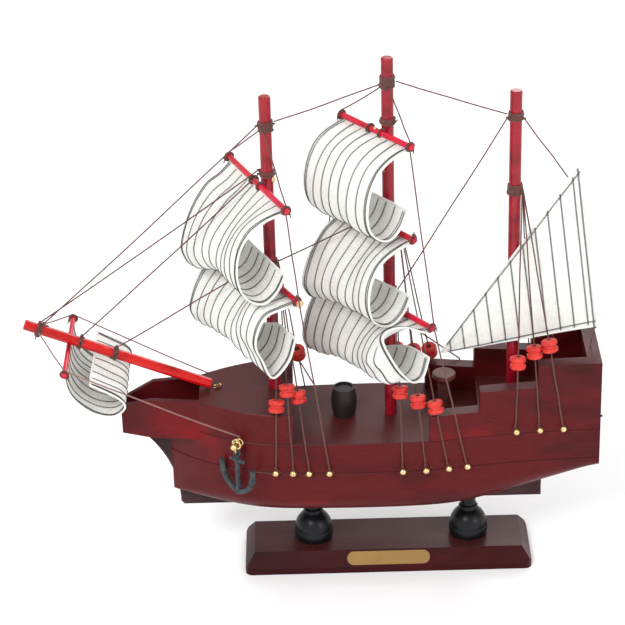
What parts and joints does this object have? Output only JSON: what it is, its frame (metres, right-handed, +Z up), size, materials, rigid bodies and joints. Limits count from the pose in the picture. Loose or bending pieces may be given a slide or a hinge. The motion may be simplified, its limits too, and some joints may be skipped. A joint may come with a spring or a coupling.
{
  "type": "model sailing ship",
  "caption": "Three-masted display sailing ship: wooden hull of stacked boards on turned spindles and a bevelled base, curled cloth sails on braced yards, thread rigging and hanging anchors.",
  "frame": {"origin": "middle of the base board's underside, on the surface that the ship stands on", "axes": "+X aft towards the stern, +Y to starboard, +Z up"},
  "size_m": [0.2398, 0.0729, 0.2312],
  "materials": {
    "varnished_hull_wood": "dark red mahogany varnish, satin to gloss",
    "varnished_base_wood": "dark red mahogany varnish, satin",
    "dark_keel_wood": "dark brown stain, matte",
    "dark_plate": "smooth dark blank plate with a pale rim",
    "black_lacquer": "black lacquer, satin",
    "brown_lacquered_wood": "brown stained turned wood, satin",
    "black_barrel_wood": "black stained turned wood, satin",
    "red_lacquered_dowel": "bright red stained dowel, gloss varnish",
    "orange_red_beads": "orange-red painted wood, satin",
    "sailcloth": "off-white fine cotton, matte",
    "brass": "polished brass",
    "copper_wire": "bright thin wire",
    "dark_cast_metal": "dark slate coating, matte",
    "brown_thread": "dark brown twisted cotton thread, matte"
  },
  "bodies": {
    "ship": {"anchor_chains": "brass", "base_board": "varnished_base_wood", "beakhead_floor": "varnished_hull_wood", "beakhead_rail_port": "varnished_hull_wood", "beakhead_rail_starboard": "varnished_hull_wood", "bowsprit": "red_lacquered_dowel", "bowsprit_lashings": "brown_thread", "bowsprit_wire": "copper_wire", "brass_pins": "brass", "capstan": "brown_lacquered_wood", "deck_barrel": "black_barrel_wood", "fore_braces": "brown_thread", "fore_deadeyes": "orange_red_beads", "fore_mast": "red_lacquered_dowel", "fore_shrouds": "brown_thread", "fore_stays": "brown_thread", "forecastle_block": "varnished_hull_wood", "keel_board": "dark_keel_wood", "lower_hull": "varnished_hull_wood", "main_braces": "brown_thread", "main_deadeyes": "orange_red_beads", "main_mast": "red_lacquered_dowel", "main_shrouds": "brown_thread", "mast_lashings": "brown_thread", "mast_stays": "brown_thread", "mizzen_deadeyes": "orange_red_beads", "mizzen_mast": "red_lacquered_dowel", "mizzen_sail": "sailcloth", "mizzen_sail_threads": "brown_thread", "mizzen_shrouds": "brown_thread", "nameplate": "dark_plate", "quarterdeck_block": "varnished_hull_wood", "spindle_front": "black_lacquer", "spindle_rear": "black_lacquer", "sprit_lines": "brown_thread", "stern_bulwark_port": "varnished_hull_wood", "stern_bulwark_starboard": "varnished_hull_wood", "transom": "varnished_hull_wood", "transom_pins": "dark_cast_metal", "upper_hull": "varnished_hull_wood"},
    "fore_yards": {"fore_upper_yard": "red_lacquered_dowel", "fore_lower_yard": "red_lacquered_dowel", "fore_upper_sail": "sailcloth", "fore_lower_sail": "sailcloth", "fore_yard_lashings": "brown_thread", "fore_lifts": "brown_thread"},
    "main_yards": {"main_upper_yard": "red_lacquered_dowel", "main_middle_yard": "red_lacquered_dowel", "main_lower_yard": "red_lacquered_dowel", "main_upper_sail": "sailcloth", "main_middle_sail": "sailcloth", "main_lower_sail": "sailcloth", "main_yard_lashings": "brown_thread", "main_lifts": "brown_thread"},
    "sprit_yard_set": {"sprit_yard": "red_lacquered_dowel", "sprit_sail": "sailcloth", "sprit_yard_lashings": "brown_thread"},
    "anchor_port_body": {"anchor_port": "dark_cast_metal"},
    "anchor_starboard_body": {"anchor_starboard": "dark_cast_metal"}
  },
  "joints": [
    {"name": "fore_yards_brace", "type": "hinge", "parent": "ship", "child": "fore_yards", "pos_m": [-0.0464, 0, 0.16], "axis": [0, 0, 1], "range_deg": [-4, 2], "deforming": ["fore_braces"]},
    {"name": "main_yards_brace", "type": "hinge", "parent": "ship", "child": "main_yards", "pos_m": [0.0021, 0, 0.16], "axis": [0, 0, 1], "range_deg": [-4, 2], "deforming": ["main_braces"]},
    {"name": "sprit_yard_swivel", "type": "hinge", "parent": "ship", "child": "sprit_yard_set", "pos_m": [-0.13, 0, 0.10907], "axis": [0.3746, 0, 0.9272], "range_deg": [-4, 4], "deforming": ["sprit_lines"]},
    {"name": "anchor_port_swing", "type": "hinge", "parent": "ship", "child": "anchor_port_body", "pos_m": [-0.06258, -0.02477, 0.06805], "axis": [-0.3425, -0.9395, 0], "range_deg": [-20, 20]},
    {"name": "anchor_starboard_swing", "type": "hinge", "parent": "ship", "child": "anchor_starboard_body", "pos_m": [-0.06258, 0.02477, 0.06805], "axis": [-0.3425, 0.9395, 0], "range_deg": [-20, 20]}
  ]
}
